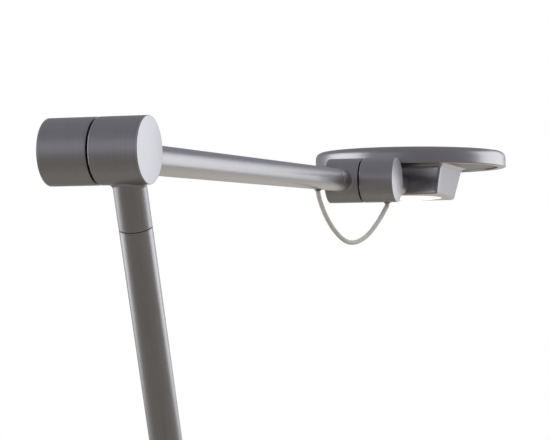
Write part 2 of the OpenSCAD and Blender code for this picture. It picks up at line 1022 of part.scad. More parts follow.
module led_board() {
  color("white")
    at_disc()
      translate([0, lens_y, pod_z - sink_drop]) {
        translate([0, 0, -board_t]) cylinder(r = board_r, h = board_t);
        translate([0, 0, -board_t - led_t]) cylinder(r = led_r, h = board_t);
      }
}

module reflector() {
  top = -sink_drop - board_t;
  low = -pod_front_h + bezel_t + 1.4;
  rim_t = 0.6;
  color("silver")
    at_disc()
      translate([0, lens_y, pod_z])
        rotate_extrude()
          polygon([
            [reflector_top_r, top], [reflector_top_r, top - reflector_wall],
            [lens_r - 2, low], [lens_r - 1, low], [lens_r - 1, low + rim_t],
            [reflector_top_r + reflector_wall, top]
          ]);
}

// The pod's floor plane: level at the front edge, dropping towards the far end
module on_pod_floor() {
  at_disc()
    translate([0, pod_front_y, pod_z - pod_front_h])
      rotate([-pod_slope, 0, 0]) translate([0, -pod_front_y, 0]) children();
}

module lamp_lens() {
  dome_r = (pow(lens_r, 2) + pow(lens_rise, 2)) / (2 * lens_rise);
  color("lightyellow")
    on_pod_floor()
      translate([0, lens_y, 0])
        intersection() {
          translate([0, 0, -lens_rise]) cylinder(r = lens_r - slip, h = lens_rise + lens_t);
          translate([0, 0, dome_r - lens_rise]) sphere(r = dome_r, $fn = 180);
        }
}

module lens_bezel() {
  inset = shell_wall + pod_inset;
  gap = 0.2;
  corner = 4;
  color("lightgray")
    on_pod_floor()
      difference() {
        linear_extrude(bezel_t)
          difference() {
            pod_plan(pod_front_w - 2 * (inset + gap), pod_far_w - 2 * (inset + gap),
                     pod_front_y, pod_far_bottom_y - shell_wall - 3 * gap, corner);
            translate([0, dish_y]) circle(r = dish_r + shell_wall + gap, $fn = 180);
          }
        translate([0, lens_y, -overlap]) cylinder(r = lens_r, h = bezel_t + 2 * overlap);
      }
}

// ---------- assembly ----------

base_cover();
base_weight();
base_pad();
base_screws();
swivel_bush();
inlet_gland();
switch_body();
switch_button();
swivel_spindle();
swivel_washer();
swivel_spring();
swivel_nut();
base_knuckle_left();
base_knuckle_left_cap();
base_pivot_bolt();
base_friction_washer();
base_disc_spring();
base_pivot_nut();
base_knuckle_right();
base_knuckle_right_cap();
base_pivot_bush();
lower_arm_tube();
lower_arm_screws();
lower_arm_cable();
elbow_right();
elbow_right_cap();
elbow_pivot_bush();
elbow_left();
elbow_left_cap();
elbow_pivot_bolt();
elbow_friction_washer();
elbow_disc_spring();
elbow_pivot_nut();
upper_arm_tube();
upper_arm_screws();
upper_arm_cable();
arm_grommet();
head_knuckle_left();
head_knuckle_left_cap();
head_pivot_bolt();
head_friction_washer();
head_disc_spring();
head_pivot_nut();
head_cord();
head_knuckle_right();
head_knuckle_right_cap();
head_pivot_bush();
head_grommet();
head_shell();
head_underplate();
head_screws();
driver_board();
pod_housing();
heat_sink();
led_board();
reflector();
lamp_lens();
lens_bezel();
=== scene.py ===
"""Visual model of the swing arm desk lamp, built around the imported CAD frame."""

import json
import math

import bmesh
import bpy
from mathutils import Matrix, Vector


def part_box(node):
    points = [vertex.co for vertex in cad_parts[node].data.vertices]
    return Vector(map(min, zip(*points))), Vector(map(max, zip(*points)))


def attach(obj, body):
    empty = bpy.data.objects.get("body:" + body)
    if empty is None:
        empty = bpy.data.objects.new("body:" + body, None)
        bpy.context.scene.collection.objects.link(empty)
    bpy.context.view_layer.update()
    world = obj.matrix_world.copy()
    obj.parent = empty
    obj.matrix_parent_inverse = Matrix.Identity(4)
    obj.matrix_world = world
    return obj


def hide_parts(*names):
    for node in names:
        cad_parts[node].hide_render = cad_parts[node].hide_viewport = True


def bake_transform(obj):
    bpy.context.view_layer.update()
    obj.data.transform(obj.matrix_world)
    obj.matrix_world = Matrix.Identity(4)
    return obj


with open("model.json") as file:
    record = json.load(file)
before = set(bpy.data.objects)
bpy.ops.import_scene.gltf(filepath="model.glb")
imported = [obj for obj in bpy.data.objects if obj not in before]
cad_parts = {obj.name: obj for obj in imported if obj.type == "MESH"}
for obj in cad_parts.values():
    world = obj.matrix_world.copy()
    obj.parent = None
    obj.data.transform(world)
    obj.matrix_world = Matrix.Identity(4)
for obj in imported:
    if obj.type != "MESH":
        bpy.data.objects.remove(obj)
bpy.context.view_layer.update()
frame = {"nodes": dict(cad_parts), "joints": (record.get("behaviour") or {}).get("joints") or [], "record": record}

MM = 0.001
LEFT, RIGHT = -1, 1

# ---------------------------------------------------------------- dimensions
joint_pos = {j["name"]: Vector(j["pos_m"]) for j in frame["joints"]}
BASE_HINGE = joint_pos["lower_arm_tilt"]
ELBOW = joint_pos["elbow_bend"]
HEAD_HINGE = joint_pos["head_tilt"]
LOWER_DIR = (ELBOW - BASE_HINGE).normalized()
UPPER_DIR = (HEAD_HINGE - ELBOW).normalized()
UP = Vector((0, 0, 1))
FORWARD = Vector((0, 1, 0))


def size(node, axis):
    low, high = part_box(node)
    return high[axis] - low[axis]


# A knuckle: x is counted outward from the middle of its seam
KNUCKLE_R = size("elbow_left_cap", 1) / 2
HALF_OFF = 12.5 * MM  # the stub's axis
SEAM = 0.4 * MM  # the half's face at the seam
CAP_SEAT = 24 * MM  # the half's face under its end cap
CAP_T = 1 * MM
CAP_WALL = 3.05 * MM  # the drum's wall round the cap's spigot
CAP_SPIGOT = 2 * MM
PIVOT_BORE_R = 6 * MM
WASHER_R = 13.2 * MM  # the friction washer's recess in the seam
WASHER_FLOOR_R = 13.0 * MM
WASHER_DEPTH = 0.6 * MM
TUBE_R = 8 * MM
FILLET = 3.2 * MM  # the widest fillet under a stub, where there's room for it
FILLET_GAP = 0.2 * MM
STUB_EDGE = 0.8 * MM
STUB_SPIGOT_R = 6.4 * MM
STUB_BORE_R = 4.5 * MM
STUB_BORE_DEPTH = 4 * MM
LOWER_STUB = 22 * MM
UPPER_STUB = 19 * MM
LEFT_EDGE, RIGHT_EDGE = 1.2 * MM, 1.8 * MM  # roundings at the seam
POINT_R = 0.001 * MM
DISC_R = size("head_shell", 0) / 2
DISC_H = size("head_shell", 2)
DISC_AT = Vector((
    HEAD_HINGE.x + HALF_OFF,
    (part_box("head_shell")[0][1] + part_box("head_shell")[1][1]) / 2,
    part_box("head_shell")[0][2],
))

# ------------------------------------------------------------------- camera
CAM_FROM_ELBOW = (0.3266, -0.7521, -0.0583)
cam_data = bpy.data.cameras.new("camera")
cam_data.sensor_width = 36
cam_data.lens = 115.5
cam_data.clip_end = 100
camera = bpy.data.objects.new("camera", cam_data)
bpy.context.scene.collection.objects.link(camera)
cam_right = Vector((0.952089, 0.305795, -0.003924))
cam_up = Vector((0.013491, -0.029178, 0.999483))
cam_back = cam_right.cross(cam_up)
camera.matrix_world = Matrix([
    (cam_right[k], cam_up[k], cam_back[k], ELBOW[k] + CAM_FROM_ELBOW[k]) for k in range(3)
] + [(0, 0, 0, 1)])
bpy.context.scene.camera = camera


# ---------------------------------------------------------------- materials
class Graph:
    """A small helper that wires one node material."""

    def __init__(self, name):
        self.mat = bpy.data.materials.new(name)
        self.mat.use_nodes = True
        self.tree = self.mat.node_tree
        self.bsdf = self.tree.nodes["Principled BSDF"]

    def node(self, kind, inputs=None, **props):
        n = self.tree.nodes.new(kind)
        for key, value in props.items():
            setattr(n, key, value)
        for key, value in (inputs or {}).items():
            self.put(n.inputs[key], value)
        return n

    def put(self, socket, value):
        if isinstance(value, bpy.types.NodeSocket):
            self.tree.links.new(value, socket)
        else:
            socket.default_value = value

    def coords(self, kind="Object", scale=(1, 1, 1)):
        tex = self.node("ShaderNodeTexCoord")
        return self.node("ShaderNodeMapping", {"Vector": tex.outputs[kind], "Scale": scale}).outputs[0]

    def noise(self, vector, scale=1.0, detail=2.0, rough=0.5):
        n = self.node("ShaderNodeTexNoise", {
            "Vector": vector, "Scale": scale, "Detail": detail, "Roughness": rough,
        })
        return n.outputs["Fac"]

    def ramp(self, fac, stops):
        n = self.node("ShaderNodeValToRGB", {"Fac": fac})
        elements = n.color_ramp.elements
        while len(elements) < len(stops):
            elements.new(0.5)
        for element, (pos, colour) in zip(elements, stops):
            element.position = pos
            element.color = tuple(colour) + (1,) if len(colour) == 3 else colour
        return n.outputs["Color"]

    def span(self, fac, low, high, a=0.3, b=0.7):
        """Map Range of fac from (a, b) to (low, high), clamped."""
        n = self.node("ShaderNodeMapRange", {
            "Value": fac, "From Min": a, "From Max": b, "To Min": low, "To Max": high,
        })
        return n.outputs[0]

    def math(self, op, a, b=0.0):
        n = self.node("ShaderNodeMath", {0: a, 1: b}, operation=op)
        return n.outputs[0]

    def mix(self, fac, a, b):
        n = self.node("ShaderNodeMix", {0: fac, 6: a, 7: b}, data_type="RGBA")
        return n.outputs[2]

    def bump(self, height, strength, distance):
        n = self.node("ShaderNodeBump", {"Height": height, "Strength": strength, "Distance": distance})
        self.put(self.bsdf.inputs["Normal"], n.outputs[0])


BUMP_DEPTH = 0.0001


def metal_material(name, dark, light, metallic, rough, streak, bump):
    """Satin metal: streaks whose scale along each axis is streak, with fine grain under them."""
    g = Graph(name)
    lines = g.noise(g.coords(scale=streak), 1.0, 4.0, 0.65)
    grain = g.noise(g.coords(scale=(2600, 2600, 2600)), 1.0, 2.0, 0.5)
    patch = g.noise(g.coords(scale=(28, 28, 28)), 1.0, 3.0, 0.5)
    blend = g.math("ADD", g.math("MULTIPLY", lines, 0.7), g.math("MULTIPLY", grain, 0.3))
    blend = g.math("ADD", g.math("MULTIPLY", blend, 0.8), g.math("MULTIPLY", patch, 0.2))
    colour = g.ramp(blend, [(0.36, dark), (0.64, light)])
    g.put(g.bsdf.inputs["Base Color"], colour)
    g.bsdf.inputs["Metallic"].default_value = metallic
    g.put(g.bsdf.inputs["Roughness"], g.span(blend, rough[0], rough[1]))
    g.bump(blend, bump, BUMP_DEPTH)
    return g.mat


def plastic_material(name, dark, light, rough, grain_scale, bump):
    """Moulded plastic or rubber: a fine grain and broader wear."""
    g = Graph(name)
    grain = g.noise(g.coords(scale=(grain_scale,) * 3), 1.0, 3.0, 0.6)
    wear = g.noise(g.coords(scale=(60, 60, 60)), 1.0, 3.0, 0.5)
    blend = g.math("ADD", g.math("MULTIPLY", grain, 0.5), g.math("MULTIPLY", wear, 0.5))
    g.put(g.bsdf.inputs["Base Color"], g.ramp(blend, [(0.35, dark), (0.65, light)]))
    g.put(g.bsdf.inputs["Roughness"], g.span(blend, rough[0], rough[1]))
    g.bump(grain, bump, BUMP_DEPTH)
    return g.mat


AROUND_X = (2200, 26, 26)  # turned about the X axis
ALONG_ARM = (900, 60, 60)
ALONG_Z = (900, 900, 60)
EVEN = (1400, 1400, 1400)  # blasted, with no direction
CAST = (220, 220, 220)
MATS = {
    "satin_body": metal_material("satin_body", (0.445, 0.44, 0.46), (0.515, 0.51, 0.53), 1.0,
                                 (0.36, 0.44), AROUND_X, 0.08),
    "satin_disc": metal_material("satin_disc", (0.47, 0.465, 0.48), (0.51, 0.505, 0.52), 1.0,
                                 (0.31, 0.36), EVEN, 0.05),
    "satin_tube": metal_material("satin_tube", (0.47, 0.47, 0.485), (0.52, 0.52, 0.535), 1.0,
                                 (0.31, 0.37), ALONG_ARM, 0.05),
    "end_cap": metal_material("end_cap", (0.54, 0.545, 0.565), (0.58, 0.585, 0.605), 1.0,
                              (0.36, 0.42), EVEN, 0.05),
    "pod_metal": metal_material("pod_metal", (0.48, 0.48, 0.50), (0.52, 0.52, 0.54), 1.0,
                                (0.31, 0.36), EVEN, 0.05),
    "steel": metal_material("steel", (0.42, 0.42, 0.43), (0.58, 0.58, 0.59), 1.0,
                            (0.22, 0.38), ALONG_Z, 0.1),
    "black_steel": metal_material("black_steel", (0.03, 0.03, 0.032), (0.06, 0.06, 0.064), 0.8,
                                  (0.35, 0.5), EVEN, 0.1),
    "iron": metal_material("iron", (0.09, 0.09, 0.095), (0.15, 0.15, 0.155), 0.7,
                           (0.55, 0.75), CAST, 0.5),
    # The underplate's darker grey is painted shade under the disc
    "underplate_painted_shade": metal_material("underplate_painted_shade", (0.29, 0.285, 0.285), (0.34, 0.335, 0.335), 1.0,
                                  (0.42, 0.48), EVEN, 0.06),
    "grey_plastic": plastic_material("grey_plastic", (0.16, 0.16, 0.162), (0.22, 0.22, 0.222),
                                     (0.4, 0.5), 900, 0.15),
    "black_plastic": plastic_material("black_plastic", (0.018, 0.018, 0.019), (0.035, 0.035, 0.037),
                                      (0.42, 0.58), 1800, 0.2),
    "white_plastic": plastic_material("white_plastic", (0.72, 0.71, 0.68), (0.82, 0.81, 0.78),
                                      (0.35, 0.5), 1500, 0.15),
    "rubber": plastic_material("rubber", (0.02, 0.02, 0.02), (0.045, 0.044, 0.043),
                               (0.7, 0.85), 1200, 0.4),
    "board": plastic_material("board", (0.02, 0.11, 0.06), (0.03, 0.17, 0.09), (0.3, 0.45), 700, 0.15),
    "led": plastic_material("led", (0.85, 0.68, 0.3), (0.95, 0.8, 0.42), (0.3, 0.45), 900, 0.15),
    "reflector": metal_material("reflector", (0.7, 0.7, 0.71), (0.82, 0.82, 0.83), 1.0,
                                (0.12, 0.22), EVEN, 0.04),
}


LENS_EDGE_FROM, LENS_EDGE_TO = 12 * MM, 24.2 * MM
LENS_RING = 1.496 * MM


def lens_material():
    """Frosted diffuser: white light in the middle, warmer towards the rim."""
    g = Graph("lens")
    centre = Vector(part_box("lamp_lens")[0]).lerp(Vector(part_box("lamp_lens")[1]), 0.5)
    tex = g.node("ShaderNodeTexCoord")
    away = g.node("ShaderNodeVectorMath", {0: tex.outputs["Object"], 1: centre}, operation="DISTANCE")
    edge = g.span(away.outputs["Value"], 0.0, 1.0, LENS_EDGE_FROM, LENS_EDGE_TO)
    frost = g.noise(g.coords(scale=(900, 900, 900)), 1.0, 3.0, 0.6)
    colour = g.ramp(edge, [(0.0, (1.0, 0.97, 0.9)), (0.75, (1.0, 0.9, 0.76)), (1.0, (1.0, 0.66, 0.4))])
    g.put(g.bsdf.inputs["Emission Color"], colour)
    rings = g.math("SINE", g.math("MULTIPLY", away.outputs["Value"], math.tau / LENS_RING))
    rough = g.math("ADD", g.math("MULTIPLY", frost, 0.1), g.math("MULTIPLY", rings, 0.05))
    g.put(g.bsdf.inputs["Emission Strength"], g.span(g.math("ADD", edge, rough), 1.25, 0.62, 0.0, 1.1))
    g.put(g.bsdf.inputs["Base Color"],
          g.ramp(frost, [(0.3, (0.82, 0.8, 0.76)), (0.7, (0.9, 0.88, 0.84))]))
    g.put(g.bsdf.inputs["Roughness"], g.span(frost, 0.3, 0.45))
    g.bump(frost, 0.15, BUMP_DEPTH)
    return g.mat


MATS["lens"] = lens_material()
BRAID_STRANDS = 12
BRAID_PITCH = 2.6 * MM
BRAID_RATE = BRAID_STRANDS / BRAID_PITCH / 4


def braid_material():
    """Woven cover: UV runs around the cord (0 to 1) and along it in metres."""
    g = Graph("braid")
    uv = g.node("ShaderNodeSeparateXYZ", {0: g.coords("UV")})
    turn = g.math("MULTIPLY", uv.outputs[0], BRAID_STRANDS)
    run = g.math("MULTIPLY", uv.outputs[1], BRAID_RATE)
    waves = []
    for op in ("ADD", "SUBTRACT"):
        wave = g.math("SINE", g.math("MULTIPLY", g.math(op, turn, run), math.tau / 2))
        waves.append(g.math("ABSOLUTE", wave))
    weave = g.math("MAXIMUM", waves[0], waves[1])
    gap = g.math("POWER", weave, 3.0)
    fibre = g.noise(g.coords(scale=(5200, 5200, 5200)), 1.0, 3.0, 0.6)
    tint = g.noise(g.coords(scale=(420, 420, 420)), 1.0, 2.0, 0.5)
    warm = g.mix(g.span(tint, 0.0, 1.0), (0.78, 0.75, 0.66, 1), (0.93, 0.91, 0.85, 1))
    # The colour is darker in the hollows between strands: painted shade
    colour = g.mix(g.span(g.math("MULTIPLY", gap, g.span(fibre, 0.8, 1.1)), 0.0, 1.0, 0.3, 0.95),
                   (0.47, 0.43, 0.35, 1), warm)
    g.put(g.bsdf.inputs["Base Color"], colour)
    g.bsdf.inputs["Roughness"].default_value = 0.85
    g.bsdf.inputs["Sheen Weight"].default_value = 0.35
    g.bump(g.math("ADD", gap, g.math("MULTIPLY", fibre, 0.4)), 0.5, 0.0002)
    return g.mat


MATS["braid"] = braid_material()

# Every carried-over CAD node takes the material of its slot in the record, or one close to it; the underplate's is
# darker grey, painted shade under the disc
FINISHES = {"base_cover": "satin_disc", "swivel_spindle": "satin_disc", "head_underplate": "underplate_painted_shade",
            "arm_grommet": "grey_plastic", "head_grommet": "grey_plastic"}
for row in frame["record"]["subparts"]:
    obj = frame["nodes"][row["node"]]
    obj.data.materials.clear()
    obj.data.materials.append(MATS[FINISHES.get(row["node"], row["material_slot"])])


# ------------------------------------------------------------- mesh helpers
def add_piece(name, verts, faces, body, slot_name, nodes=(), sharp=40, uvs=None, finish=None):
    """A mesh piece that rides on a body, in that slot's finish, in place of the CAD nodes."""
    mesh = bpy.data.meshes.new(name)
    mesh.from_pydata([tuple(v) for v in verts], [], faces)
    if uvs is not None:
        layer = mesh.uv_layers.new(name="UVMap")
        for loop in mesh.loops:
            layer.data[loop.index].uv = uvs[loop.vertex_index]
    bm = bmesh.new()
    bm.from_mesh(mesh)
    bmesh.ops.remove_doubles(bm, verts=bm.verts, dist=1e-7)
    bmesh.ops.recalc_face_normals(bm, faces=bm.faces)
    bm.to_mesh(mesh)
    bm.free()
    mesh.shade_smooth()
    mesh.set_sharp_from_angle(angle=math.radians(sharp))
    obj = bpy.data.objects.new(name, mesh)
    bpy.context.scene.collection.objects.link(obj)
    obj.data.materials.append(MATS[finish or slot_name])
    if body:
        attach(obj, body)
    if nodes:
        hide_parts(*nodes)
    return obj


HALF_EDGE = 0.499  # how much of an edge an arc may use


def rounded(points, steps=5):
    """Corner points (a, b, radius) of a profile, with each corner turned into an arc."""
    out = []
    count = len(points)
    for i, (a, b, radius) in enumerate(points):
        here = Vector((a, b))
        if radius <= 0 or i in (0, count - 1):
            out.append(here)
            continue
        before = Vector(points[i - 1][:2]) - here
        after = Vector(points[i + 1][:2]) - here
        angle = before.angle(after)
        reach = radius / math.tan(angle / 2)
        reach = min(reach, before.length * HALF_EDGE, after.length * HALF_EDGE)
        real = reach * math.tan(angle / 2)
        start = here + before.normalized() * reach
        end = here + after.normalized() * reach
        inward = (before.normalized() + after.normalized()).normalized()
        middle = here + inward * (real / math.sin(angle / 2))
        for k in range(steps + 1):
            out.append(middle + slerp(start - middle, end - middle, k / steps))
    return out


def lathe(profile, centre, axis, segments=128):
    """Verts and faces of a profile of (radius, height) turned about axis through centre."""
    axis = Vector(axis).normalized()
    side = axis.orthogonal().normalized()
    other = axis.cross(side)
    verts, faces, rings = [], [], []
    for radius, height in profile:
        if radius < 1e-7:
            rings.append([len(verts)])
            verts.append(centre + axis * height)
        else:
            ring = []
            for k in range(segments):
                a = math.tau * k / segments
                ring.append(len(verts))
                spoke = math.cos(a) * side + math.sin(a) * other
                verts.append(centre + axis * height + radius * spoke)
            rings.append(ring)
    for lower, upper in zip(rings, rings[1:]):
        for k in range(segments):
            n = (k + 1) % segments
            if len(lower) == 1 and len(upper) > 1:
                faces.append((lower[0], upper[k], upper[n]))
            elif len(upper) == 1 and len(lower) > 1:
                faces.append((lower[k], upper[0], lower[n]))
            elif len(lower) > 1:
                faces.append((lower[k], upper[k], upper[n], lower[n]))
    return verts, faces


def add_lathe(name, points, centre, axis, body, slot_name, nodes, segments, finish=None):
    verts, faces = lathe(rounded(points), centre, axis, segments)
    return add_piece(name, verts, faces, body, slot_name, nodes, finish=finish)


def slerp(u, v, t):
    """The vector a share t of the way round from u to v."""
    sweep = u.angle(v)
    return (math.sin((1 - t) * sweep) * u + math.sin(t * sweep) * v) / math.sin(sweep)


# ------------------------------------------------------------------ knuckles
PATCH_HALF = math.radians(52)  # half the turn of drum that the patch round a stub takes up
HOLE_STEPS = 96
SIDE_STEPS = HOLE_STEPS // 4
FILLET_ROWS = 8
PATCH_ROWS = 8
REST_ROWS = 72


def knuckle_half(name, node, body, hinge, side, stub_dir, stub_len, edge_r):
    """One half: a drum about the hinge, a stub that grows out of it with a rolled fillet."""
    across = stub_dir.cross(Vector((1, 0, 0)))
    cap_edge_r = 0.22 * MM
    x_low, x_high = SEAM + edge_r, CAP_SEAT - 0.25 * MM
    x_mid = (x_low + x_high) / 2
    x_half = (x_high - x_low) / 2
    verts, faces = [], []

    def put(x, y, z):
        verts.append(hinge + Vector((side * x, 0, 0)) + across * y + stub_dir * z)
        return len(verts) - 1

    def drum(x, turn):
        return put(x, KNUCKLE_R * math.sin(turn), KNUCKLE_R * math.cos(turn))

    def bridge(a, b, closed):
        last = len(a) if closed else len(a) - 1
        for k in range(last):
            n = (k + 1) % len(a)
            faces.append((a[k], a[n], b[n], b[k]))

    # The fillet's contact curve on the drum, then arcs up to the stub
    fillet = min(FILLET, HALF_OFF - TUBE_R - x_low - FILLET_GAP)
    reach = TUBE_R + fillet
    shrink = KNUCKLE_R / (KNUCKLE_R + fillet)
    rows = [[] for _ in range(FILLET_ROWS + 1)]
    contact = []
    for k in range(HOLE_STEPS):
        phi = math.tau * k / HOLE_STEPS
        ball = Vector((HALF_OFF + reach * math.cos(phi), reach * math.sin(phi), 0))
        ball.z = math.sqrt((KNUCKLE_R + fillet) ** 2 - ball.y ** 2)
        on_drum = Vector((ball.x, ball.y * shrink, ball.z * shrink))
        on_stub = Vector((HALF_OFF + TUBE_R * math.cos(phi), TUBE_R * math.sin(phi), ball.z))
        contact.append((on_drum.x, math.atan2(on_drum.y, on_drum.z)))
        for r, row in enumerate(rows):
            row.append(put(*(ball + slerp(on_drum - ball, on_stub - ball, r / FILLET_ROWS))))
    for a, b in zip(rows, rows[1:]):
        bridge(a, b, True)
    # The stub, with a rolled end and its bore
    z_end = KNUCKLE_R + stub_len
    for radius, z in rounded([
        (TUBE_R, KNUCKLE_R, 0), (TUBE_R, z_end, STUB_EDGE), (STUB_SPIGOT_R, z_end, 0),
        (STUB_BORE_R, z_end, 0), (STUB_BORE_R, z_end - STUB_BORE_DEPTH, 0),
        (POINT_R, z_end - STUB_BORE_DEPTH, 0),
    ])[1:]:
        ring = [put(HALF_OFF + radius * math.cos(math.tau * k / HOLE_STEPS),
                    radius * math.sin(math.tau * k / HOLE_STEPS), z) for k in range(HOLE_STEPS)]
        bridge(rows[-1], ring, True)
        rows.append(ring)
    # The patch of drum round the stub, from the contact curve out to a rectangle
    rim = []
    for k in range(HOLE_STEPS):
        phi = math.tau * k / HOLE_STEPS
        big = max(abs(math.cos(phi)), abs(math.sin(phi)))
        rim.append((x_mid + x_half * math.cos(phi) / big, PATCH_HALF * math.sin(phi) / big))
    inner = rows[0]
    for step in range(1, PATCH_ROWS + 1):
        t = step / PATCH_ROWS
        ring = [drum(c[0] + (e[0] - c[0]) * t, c[1] + (e[1] - c[1]) * t) for c, e in zip(contact, rim)]
        bridge(inner, ring, True)
        inner = ring
    # k from -45 to 45 degrees is the cap side, 45 to 135 the positive turn, and so on
    eighth = HOLE_STEPS // 8

    def side_of(loop, first, way):
        return [loop[(first * eighth + way * k) % HOLE_STEPS] for k in range(SIDE_STEPS + 1)]

    top_row = side_of(inner, 1, 1)
    low_row = side_of(inner, 7, -1)
    xs = [spot[0] for spot in side_of(rim, 1, 1)]
    cap_edge = side_of(inner, 7, 1)
    seam_edge = side_of(inner, 5, -1)
    turns = [spot[1] for spot in side_of(rim, 7, 1)]
    last = top_row
    for row in range(1, REST_ROWS):
        turn = PATCH_HALF + (math.tau - 2 * PATCH_HALF) * row / REST_ROWS
        line = [drum(x, turn) for x in xs]
        bridge(last, line, False)
        cap_edge.append(line[0])
        seam_edge.append(line[-1])
        turns.append(turn)
        last = line
    bridge(last, low_row, False)

    # The ends: a rounded rim at the seam, a small one under the cap, both closed to the bore
    def end(ring, points):
        for x, radius in points[1:]:
            nxt = [put(x, radius * math.sin(t), radius * math.cos(t)) for t in turns]
            bridge(ring, nxt, True)
            ring = nxt
        return ring

    recess = SEAM + WASHER_DEPTH
    seam_points = rounded([(x_low, KNUCKLE_R, 0), (SEAM, KNUCKLE_R, edge_r), (SEAM, WASHER_R, 0),
                           (recess, WASHER_FLOOR_R, 0), (recess, PIVOT_BORE_R, 0)], 7)
    cap_points = rounded([(x_high, KNUCKLE_R, 0), (CAP_SEAT, KNUCKLE_R, cap_edge_r),
                          (CAP_SEAT, PIVOT_BORE_R, 0)], 4)
    bridge(end(seam_edge, seam_points), end(cap_edge, cap_points), True)
    add_piece(name, verts, faces, body, "satin_body", (node,), sharp=50)


def knuckle_cap(name, node, body, hinge, side):
    """An end cap: a thin plate with a spigot in the drum."""
    spigot_r, spigot_end = KNUCKLE_R - CAP_WALL, CAP_SEAT - CAP_SPIGOT
    points = [(0, CAP_SEAT + CAP_T, 0), (KNUCKLE_R, CAP_SEAT + CAP_T, 0.35 * MM),
              (KNUCKLE_R, CAP_SEAT, 0.15 * MM), (spigot_r, CAP_SEAT, 0),
              (spigot_r, spigot_end, 0), (0, spigot_end, 0)]
    add_lathe(name, points, hinge, (side, 0, 0), body, "end_cap", (node,), 160)


POD_FRONT_Y, POD_FAR_Y, POD_FAR_BOTTOM_Y = -41, 46, 32
POD_FRONT_W, POD_FAR_W, POD_INSET, POD_DISH = 33, 31.5, 3.5, 8
POD_FRONT_H, POD_FAR_H = 22.6, 24.7
NECK_BITE = 0.6
NECK_LEN = DISC_AT.y - HEAD_HINGE.y + (POD_FRONT_Y + POD_DISH + NECK_BITE) * MM - KNUCKLE_R
for name, node, body, hinge, side, stub_dir, stub_len in (
    ("base_half_left", "base_knuckle_left", "stem", BASE_HINGE, LEFT, -UP, UPPER_STUB),
    ("base_half_right", "base_knuckle_right", "lower_arm", BASE_HINGE, RIGHT, LOWER_DIR, LOWER_STUB),
    ("elbow_half_right", "elbow_right", "lower_arm", ELBOW, RIGHT, -LOWER_DIR, LOWER_STUB),
    ("elbow_half_left", "elbow_left", "upper_arm", ELBOW, LEFT, UPPER_DIR, UPPER_STUB),
    ("head_half_left", "head_knuckle_left", "upper_arm", HEAD_HINGE, LEFT, -UPPER_DIR, UPPER_STUB),
    ("head_half_right", "head_knuckle_right", "head", HEAD_HINGE, RIGHT, FORWARD, NECK_LEN),
):
    edge_r = LEFT_EDGE if side == LEFT else RIGHT_EDGE
    knuckle_half(name, node, body, hinge, side, stub_dir, stub_len, edge_r)
for place, hinge, left_body, right_body in (
    ("base_knuckle", BASE_HINGE, "stem", "lower_arm"),
    ("elbow", ELBOW, "upper_arm", "lower_arm"),
    ("head_knuckle", HEAD_HINGE, "upper_arm", "head"),
):
    knuckle_cap(place + "_plate_left", place + "_left_cap", left_body, hinge, LEFT)
    knuckle_cap(place + "_plate_right", place + "_right_cap", right_body, hinge, RIGHT)

# ---------------------------------------------------------------- disc head
DISC_LIP_R = 66.5 * MM
DISC_RECESS = 3 * MM
add_lathe("disc_shell", [
    (0, DISC_H, 0), (DISC_R, DISC_H, 5 * MM), (DISC_R, 0, 0.8 * MM), (DISC_LIP_R, 0, 0.5 * MM),
    (DISC_LIP_R, DISC_RECESS, 0), (0, DISC_RECESS, 0),
], DISC_AT, UP, "head", "satin_body", ("head_shell",), 256, finish="satin_disc")


# ---------------------------------------------------------------------- pod
POD_TOP = DISC_AT.z + 1.2 * MM
POD_CORNER, POD_FRONT_CORNER = 7, 2.4
FRONT_STEPS, SIDE_CUTS, CORNER_CUTS, FRONT_CUTS = 40, 12, 12, 6


def pod_loop(depth, off):
    """Plan outline in mm at a share of the depth, pulled in by off, with the same point count."""
    half_front = POD_FRONT_W - POD_INSET * depth - off
    half_far = POD_FAR_W - POD_INSET * depth - off
    y1 = POD_FAR_Y + (POD_FAR_BOTTOM_Y - POD_FAR_Y) * depth - off
    dish_r = (POD_FRONT_W ** 2 + POD_DISH ** 2) / (2 * POD_DISH)
    dish_y = POD_FRONT_Y + POD_DISH - dish_r
    dish_r += off
    dish_a = math.asin(half_front / dish_r)
    y0 = dish_y + dish_r * math.cos(dish_a)
    corner_r = max(POD_CORNER - off, 1)
    front_r = max(POD_FRONT_CORNER - off, 0.5)
    pts = []
    # the dished front, left to right, stopping short of the corners
    cut = front_r / dish_r
    for k in range(FRONT_STEPS + 1):
        a = (dish_a - cut) * (2 * k / FRONT_STEPS - 1)
        pts.append(Vector((dish_r * math.sin(a), dish_y + dish_r * math.cos(a))))

    def corner(at, after, steps, last=0):
        before = pts[-1].copy()
        for k in range(1, steps + 1 - last):
            t = k / steps
            pts.append(before * (1 - t) ** 2 + at * 2 * t * (1 - t) + after * t * t)

    def straight(stop):
        start = pts[-1].copy()
        for k in range(1, SIDE_CUTS + 1):
            pts.append(start.lerp(stop, k / SIDE_CUTS))

    right_front = Vector((half_front, y0))
    right_far = Vector((half_far, y1))
    left_far = Vector((-half_far, y1))
    left_front = Vector((-half_front, y0))
    along = (right_far - right_front).normalized()
    corner(right_front, right_front + along * front_r, FRONT_CUTS)
    straight(right_far - along * corner_r)
    corner(right_far, right_far - Vector((corner_r, 0)), CORNER_CUTS)
    straight(left_far + Vector((corner_r, 0)))
    along = (left_front - left_far).normalized()
    corner(left_far, left_far + along * corner_r, CORNER_CUTS)
    straight(left_front - along * front_r)
    corner(left_front, pts[0].copy(), FRONT_CUTS, 1)
    return pts


def pod_height(y, depth):
    """Depth in mm below the pod's top at plan position y: the floor slopes down towards the far end."""
    share = (y - POD_FRONT_Y) / (POD_FAR_BOTTOM_Y - POD_FRONT_Y)
    return depth * (POD_FRONT_H + (POD_FAR_H - POD_FRONT_H) * share)


